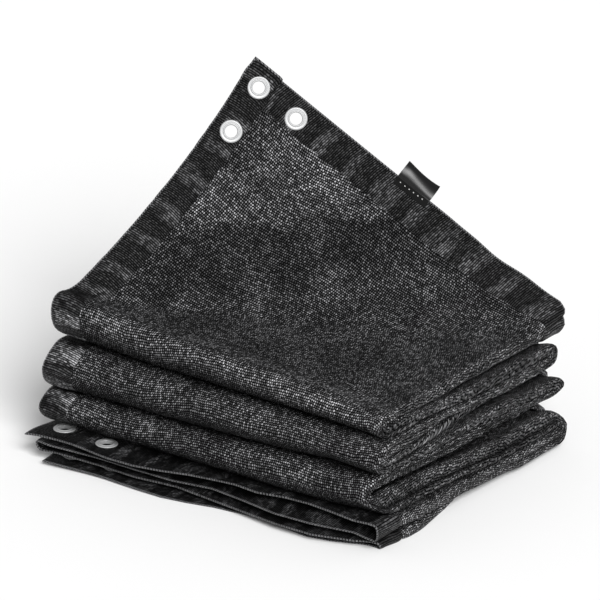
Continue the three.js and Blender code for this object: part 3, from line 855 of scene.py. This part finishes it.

# Painted light on patches and painted shade in creases of the hems, from their puckers
HEM_PATCH = 0.039
PATCH_SLANT = 0.2
PATCH_DRIFT = 1.3
PATCH_DRIFT_SCALE = 22
PATCH_DRIFT_DEEP = 0.3
PATCH_EDGE = (0.6, 0.92)
PATCH_DEEP = (0.004, 0.03)
PATCH_FADE = (0.35, 1)
PATCH_DARK = 0.45
PATCH_LIGHT = 3.2
CREASE_AT = 0.55
CREASE_EDGE = (0.02, 0.12)
CREASE_DARK = 0.1

# The painted shadow line at the corner's lap, and the light dots along the folded edge, painted
# highlights on its loops
LAP_DARK = 0.08
LAP_EDGE = (0.0006, 0.0022)
LAP_END = 0.5
DOT_DEEP = 0.0015
DOT_LONG = 0.0031
DOT_FROM = 0.6
DOT_LIGHT = 0.12


def knit_material():
    """Rows of loops of flat yarn, each loop with its own lightness and lean; the light loops stand in
    part for painted glints.
    """
    material = new_material("black_knit", 0.42, (0.018, 0.018, 0.019))
    w = Wiring(material)
    across, along = w.place("knit")
    wander = w.product(w.soft_noise(across, along, WALE_WANDER_SCALE), WALE_WANDER)
    jitter = w.product(w.soft_noise(along, across, LOOP_WANDER_SCALE), LOOP_WANDER)
    wale = w.math("DIVIDE", w.math("ADD", along, wander), WALE)
    wale_number = w.math("FLOOR", wale)
    shift = w.cell_noise(wale_number, 0)[0]
    loop = w.math("ADD", w.math("DIVIDE", w.math("ADD", across, jitter), LOOP), shift)
    loop_number = w.math("FLOOR", loop)
    value, colour = w.cell_noise(wale_number, loop_number)
    size = w.range(w.cell_noise(loop_number, wale_number)[0], (0, 1), LOOP_SIZES)
    height = w.product(w.hump(wale), w.hump(loop), size)
    dot = w.range(height, LOOP_EDGE, (0, 1))
    # Each loop's lightness differs at random; the light loops are in part painted glints of the flat
    # yarn
    lit = w.range(w.math("POWER", value, LOOP_CONTRAST), (0, 1), (KNIT_EVEN, 1))

    # Painted light and shade on the raised corner's panel: a painted light band below its tip and a
    # painted dark band further down, towards its bend
    flat_across, flat_along = w.place("flat")
    cloud = w.soft_noise(flat_across, flat_along, CLOUD_SCALE)
    from_tip = w.math("ADD", flat_across, w.math("SUBTRACT", CLOTH_LONG * MM, flat_along))
    from_tip = w.math("MULTIPLY_ADD", cloud, PANEL_UNEVEN, from_tip)
    panel_light_and_shade = w.product(
        w.range(from_tip, PANEL_LIGHT_RISE, (PANEL_START, 1)),
        w.range(from_tip, PANEL_SHADE_FALL, (PANEL_LIGHT, PANEL_DARK)),
        w.range(from_tip, PANEL_SHADE_END, (1, 1 / PANEL_DARK)),
    )
    # The painted light and shade of the panel and of the folds, with the clouds of random tone
    lit = w.product(lit, panel_light_and_shade, w.place("painted_light")[0], w.range(cloud, CLOUD_EDGE, CLOUD_LIGHT))
    w.grey(w.math("MULTIPLY_ADD", w.product(lit, dot), KNIT_LIGHT, KNIT_DARK), KNIT_TINT)
    w.put(w.shader.inputs["Specular IOR Level"], w.product(dot, SHINE))
    w.glints(colour, KNIT_LEAN, height, KNIT_RELIEF)
    return material


def hem_material():
    """Folded knit, seen as short pieces of slanted lines, with painted light on patches and painted
    shade in creases.
    """
    material = new_material("black_hem", 0.45, (0.015, 0.015, 0.016))
    w = Wiring(material)
    across, along = w.place("flat")
    real_across, real_along = w.place("knit")
    from_side = w.math("MINIMUM", across, w.math("SUBTRACT", CLOTH_WIDE * MM, across))
    from_end = w.math("MINIMUM", along, w.math("SUBTRACT", CLOTH_LONG * MM, along))
    at_side = w.math("LESS_THAN", from_side, HEM_WIDE * MM)
    run = w.mix(at_side, real_across, real_along)
    deep = w.mix(at_side, from_end, from_side)
    wander = w.product(w.soft_noise(across, along, HATCH_WANDER_SCALE), HATCH_WANDER)
    slanted = w.math("MULTIPLY_ADD", deep, HATCH_SLANT, run)
    line = w.math("DIVIDE", w.math("ADD", slanted, wander), HATCH)
    line_number = w.math("FLOOR", line)
    piece = w.math("ADD", w.math("DIVIDE", deep, HEM_PIECE), w.cell_noise(line_number, 0)[0])
    value, colour = w.cell_noise(line_number, w.math("FLOOR", piece))
    ridge = w.range(w.hump(line), HATCH_EDGE, (0, 1))
    ridge = w.product(ridge, w.range(w.hump(piece), PIECE_EDGE, PIECE_LIGHT))
    lit = w.product(w.range(w.math("POWER", value, HEM_CONTRAST), (0, 1), (HEM_EVEN, 1)), ridge)

    # Painted light on patches where the hem's puckers face the light, with a painted dark crease on
    # each side
    drift = w.soft_noise(run, w.product(deep, PATCH_DRIFT_DEEP), PATCH_DRIFT_SCALE)
    turns = w.math("DIVIDE", w.math("MULTIPLY_ADD", deep, PATCH_SLANT, run), HEM_PATCH)
    wave = w.hump(w.math("ADD", turns, w.product(drift, PATCH_DRIFT)))
    patch = w.product(w.range(wave, PATCH_EDGE, (0, 1)), w.range(deep, PATCH_DEEP, PATCH_FADE))
    crease = w.math("ABSOLUTE", w.math("SUBTRACT", wave, CREASE_AT))
    crease = w.range(crease, CREASE_EDGE, (CREASE_DARK, 1))
    # Painted light: the hems are painted lighter on the turned rolls at the front
    painted_roll_light = w.math("MULTIPLY_ADD", w.place("painted_light")[1], HEM_ROLL_LIGHT, 1)
    lit = w.product(lit, w.mix(patch, PATCH_DARK, PATCH_LIGHT), crease, painted_roll_light)

    # A painted shadow line where the side hem laps over the end hem
    off_lap = w.math("ABSOLUTE", w.math("SUBTRACT", from_side, HEM_WIDE * MM))
    past_lap = w.product(w.math("SUBTRACT", from_end, HEM_WIDE * MM), LAP_END)
    lit = w.product(lit, w.range(w.math("MAXIMUM", off_lap, past_lap), LAP_EDGE, (LAP_DARK, 1)))
    shade = w.math("MULTIPLY_ADD", lit, HEM_LIGHT, HEM_DARK)

    # The loops of the folded edge show as light dots, painted highlights
    around = w.math("DIVIDE", w.math("ADD", real_across, real_along), DOT_LONG)
    dots = w.math("GREATER_THAN", w.hump(around), DOT_FROM)
    at_edge = w.math("LESS_THAN", w.math("MINIMUM", from_side, from_end), DOT_DEEP)
    w.grey(w.math("MULTIPLY_ADD", w.product(at_edge, dots), DOT_LIGHT, shade), KNIT_TINT)
    w.put(w.shader.inputs["Specular IOR Level"], w.product(ridge, SHINE))
    w.glints(colour, HEM_LEAN, ridge, HEM_RELIEF)
    return material


knit = knit_material()
hem = hem_material()
metal = new_material("bright_metal", 0.35, (0.34, 0.343, 0.346), metallic=0.1)
ribbon = new_material("black_ribbon", 0.33, (0.002, 0.002, 0.002), specular=0.35)
ribbon_base = new_material("black_ribbon_base", 0.8, (0.004, 0.004, 0.004), specular=0.1)
thread = new_material("white_thread", 0.7, (0.45, 0.45, 0.44))

cloth = build_cloth([knit, hem])
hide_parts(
    "cloth", "cloth_top", "hem_side", "hem_end", "hem_tip", "hem_under", "hem_fold", "hem_roll")
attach(cloth, "root")

# Eyelets: a pressed ring with a domed flange on each side of the hem
EYELET_TURNS = 40
HOLE_R = 6.3
FLANGE_R = 11.6

# Radius and height of one side of a ring, from the hole out to the flange's edge and back under it
EYELET_SIDE = [
    (HOLE_R, 0.5), (6.35, 1.5), (6.7, 2.15), (7.3, 2.4), (7.9, 2.15), (8.3, 1.75), (8.8, 1.65),
    (9.4, 1.85), (10.2, 2.0), (10.9, 1.85), (11.4, 1.5), (FLANGE_R, 1.05), (11.2, 0.8), (7.2, 0.8),
]


def build_eyelet(name, place):
    ring = [(r, -z) for r, z in reversed(EYELET_SIDE)] + EYELET_SIDE
    centre = cloth_point(*place)
    turn = Vector(normal_of(cloth_point, *place)).to_track_quat("Z", "Y").to_matrix()
    points = []
    for k in range(EYELET_TURNS):
        angle = 2 * math.pi * k / EYELET_TURNS
        for r, z in ring:
            local = Vector((r * math.cos(angle), r * math.sin(angle), z))
            points.append(np.array(turn @ local) + centre)
    faces = tube_faces(0, EYELET_TURNS, len(ring), closed=True)
    thing = mesh_object("metal_" + name, to_row(points), faces, materials=[metal])
    recalculate(thing)
    thing.data.set_sharp_from_angle(angle=SMALL_SHARP)
    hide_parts(name)
    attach(thing, "root")
    return thing


rings = [build_eyelet(name, place) for name, place in EYELETS.items()]

# The ribbon loop, astride the end hem's edge
TAB_FROM = 189
TAB_WIDE = 41
TAB_OUT = 18.5
TAB_LAP = 9
TAB_LAP_END = 0.1
TAB_THICK = 0.8
TAB_SKIN = 1.75
TAB_HALF = 1.9
TAB_STEP = 2.6
TAB_LINE_STEP = 2
TAB_TURN = 75
TAB_TURN_STEPS = 9
TAB_AIM = 4

# The loop's rise along it, how its end is drawn in at the middle, and how it curls and bends down
TAB_SHARE = [0, 0.08, 0.2, 0.4, 0.6, 0.93, 1]
TAB_RISE = [0, 1.2, 1.4, 1.4, 1.3, 0.95, 0.15]
TAB_NIP = 2
TAB_CURL = 1.4
TAB_BEND = 7
TAB_BEND_FROM = 0.3


def ribbon_line():
    """The ribbon's middle line off the hem's edge, outward and up, from the top lap to the lower."""
    bend_from = TAB_OUT - TAB_HALF
    out = np.array(steps(-TAB_LAP, bend_from, TAB_LINE_STEP))
    up = TAB_SKIN + np.interp(np.clip(out / bend_from, 0, 1), TAB_SHARE, TAB_RISE)
    turn = np.radians(np.linspace(TAB_TURN, -TAB_TURN, TAB_TURN_STEPS))
    bend = np.stack([bend_from + TAB_HALF * np.cos(turn), TAB_HALF * np.sin(turn)], axis=1)
    top = np.stack([out, up], axis=1)
    return np.concatenate([top, bend, (top * (1, -1))[::-1]])


def build_tab():
    """The ribbon loop, in a duller black where it laps on the hem."""
    line = ribbon_line()
    run = np.gradient(line, axis=0)
    off = np.stack([-run[:, 1], run[:, 0]], axis=1) / np.linalg.norm(run, axis=1)[:, None]
    loop = np.concatenate([line + off * TAB_THICK / 2, (line - off * TAB_THICK / 2)[::-1]])
    places = np.array(steps(TAB_FROM, TAB_FROM + TAB_WIDE, TAB_STEP))
    points = []
    for q in places:
        edge = surface(q, CLOTH_LONG)
        outward = edge - surface(q, CLOTH_LONG - TAB_AIM)
        outward = outward / np.linalg.norm(outward)
        width = (q - TAB_FROM) / TAB_WIDE
        nip = TAB_NIP * math.sin(math.pi * width) / TAB_OUT
        curl = TAB_CURL * width**2 / TAB_OUT
        for x, z in loop:
            base = surface(q, CLOTH_LONG + x) if x < 0 else edge + outward * x * (1 - nip)
            bend = TAB_BEND * max(x / TAB_OUT - TAB_BEND_FROM, 0) ** 2
            up = z - curl * max(x, 0) - bend
            points.append(base + normal_of(surface, q, CLOTH_LONG + min(x, -1)) * up)
    count = len(loop)
    faces = tube_faces(0, len(places), count)
    for start, flip in ((0, False), ((len(places) - 1) * count, True)):
        for j in range(count // 2 - 1):
            face = (start + j, start + j + 1, start + count - 2 - j, start + count - 1 - j)
            faces.append(face[::-1] if flip else face)
    on_lap = [int(all(loop[k % count][0] < TAB_LAP_END for k in f)) for f in faces]
    materials = [ribbon, ribbon_base]
    thing = mesh_object("ribbon_tab", to_row(points), faces, slots=on_lap, materials=materials)
    recalculate(thing)
    thing.data.set_sharp_from_angle(angle=SMALL_SHARP)
    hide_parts("tab")
    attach(thing, "root")
    return thing


tab = build_tab()

# Stitches: small stadiums of thread lying on the ribbon's lap
STITCH_PLACES = [TAB_FROM + d for d in (6, 12, 17.5, 23, 28.5, 34)]
STITCH_S = CLOTH_LONG - 4
STITCH_LIFT = TAB_SKIN + TAB_THICK / 2
STITCH_LONG = 1.5
STITCH_R = 0.5
STITCH_FLAT = 1.3
STITCH_END = 0.08
STITCH_RINGS = 6
STITCH_SIDES = 6


def build_stitches():
    points, faces = [], []
    for q in STITCH_PLACES:
        centre = surface(q, STITCH_S)
        normal = normal_of(surface, q, STITCH_S)
        along = surface(q + 1, STITCH_S) - surface(q - 1, STITCH_S)
        along = along / np.linalg.norm(along)
        beside = np.cross(normal, along)
        first = len(points)
        for t in np.linspace(-1, 1, STITCH_RINGS):
            width = STITCH_R * math.sqrt(max(STITCH_END, 1 - t * t))
            for k in range(STITCH_SIDES):
                angle = 2 * math.pi / STITCH_SIDES * k
                offset = beside * math.cos(angle) * width * STITCH_FLAT
                offset = offset + normal * (math.sin(angle) * width + STITCH_LIFT)
                points.append(centre + along * t * STITCH_LONG / 2 + offset)
        faces += tube_faces(first, STITCH_RINGS, STITCH_SIDES)
        faces.append(tuple(range(first + STITCH_SIDES - 1, first - 1, -1)))
        faces.append(tuple(range(len(points) - STITCH_SIDES, len(points))))
    thing = mesh_object("tab_stitches", to_row(points), faces, materials=[thread])
    recalculate(thing)
    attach(thing, "root")
    return thing


tab_thread = build_stitches()

# Floor and light: an even white studio, and a broad soft light from the front right
FLOOR = 40
STUDIO_LIGHT = 0.38
SUN_LIGHT = 4.2
SUN_WIDE = math.radians(30)
SUN_WAY = Vector((-0.66, 0.5, -0.58))

corners = [(-FLOOR, -FLOOR, 0), (FLOOR, -FLOOR, 0), (FLOOR, FLOOR, 0), (-FLOOR, FLOOR, 0)]
pale = new_material("pale_floor", 0.9, (0.9, 0.9, 0.9))
floor = mesh_object("floor", corners, [(0, 1, 2, 3)], materials=[pale])

world = bpy.data.worlds.new("studio")
world.use_nodes = True
world.node_tree.nodes["Background"].inputs["Color"].default_value = (1, 1, 1, 1)
world.node_tree.nodes["Background"].inputs["Strength"].default_value = STUDIO_LIGHT
bpy.context.scene.world = world

sun = bpy.data.lights.new("sun", "SUN")
sun.energy = SUN_LIGHT
sun.angle = SUN_WIDE
sun_holder = bpy.data.objects.new("sun", sun)
sun_holder.rotation_euler = SUN_WAY.to_track_quat("-Z", "Y").to_euler()
bpy.context.scene.collection.objects.link(sun_holder)

# Camera: how far it stands off the pile's near corner, in millimetres, its lens and how far it sees
CAMERA_TURN = math.radians(36.2)
CAMERA_RISE = math.radians(21.8)
CAMERA_AWAY = 4770
CAMERA_RIGHT = -77.3
CAMERA_UP = 243.5
CAMERA_LENS = 297.06
CAMERA_FILM = 36
CAMERA_SEES = 200
level = math.cos(CAMERA_RISE)
right = np.array([math.cos(CAMERA_TURN), math.sin(CAMERA_TURN), 0])
back = np.array([math.sin(CAMERA_TURN) * level, -math.cos(CAMERA_TURN) * level, math.sin(CAMERA_RISE)])
up = np.cross(back, right)
spot = to_row(right * CAMERA_RIGHT + up * CAMERA_UP + back * CAMERA_AWAY)

camera_data = bpy.data.cameras.new("camera")
camera_data.lens = CAMERA_LENS
camera_data.sensor_width = CAMERA_FILM
camera_data.clip_end = CAMERA_SEES
camera = bpy.data.objects.new("camera", camera_data)
camera.matrix_world = Matrix([[right[k], up[k], back[k], spot[k]] for k in range(3)] + [[0, 0, 0, 1]])
bpy.context.scene.collection.objects.link(camera)
bpy.context.scene.camera = camera
bpy.context.scene.view_settings.view_transform = "Standard"
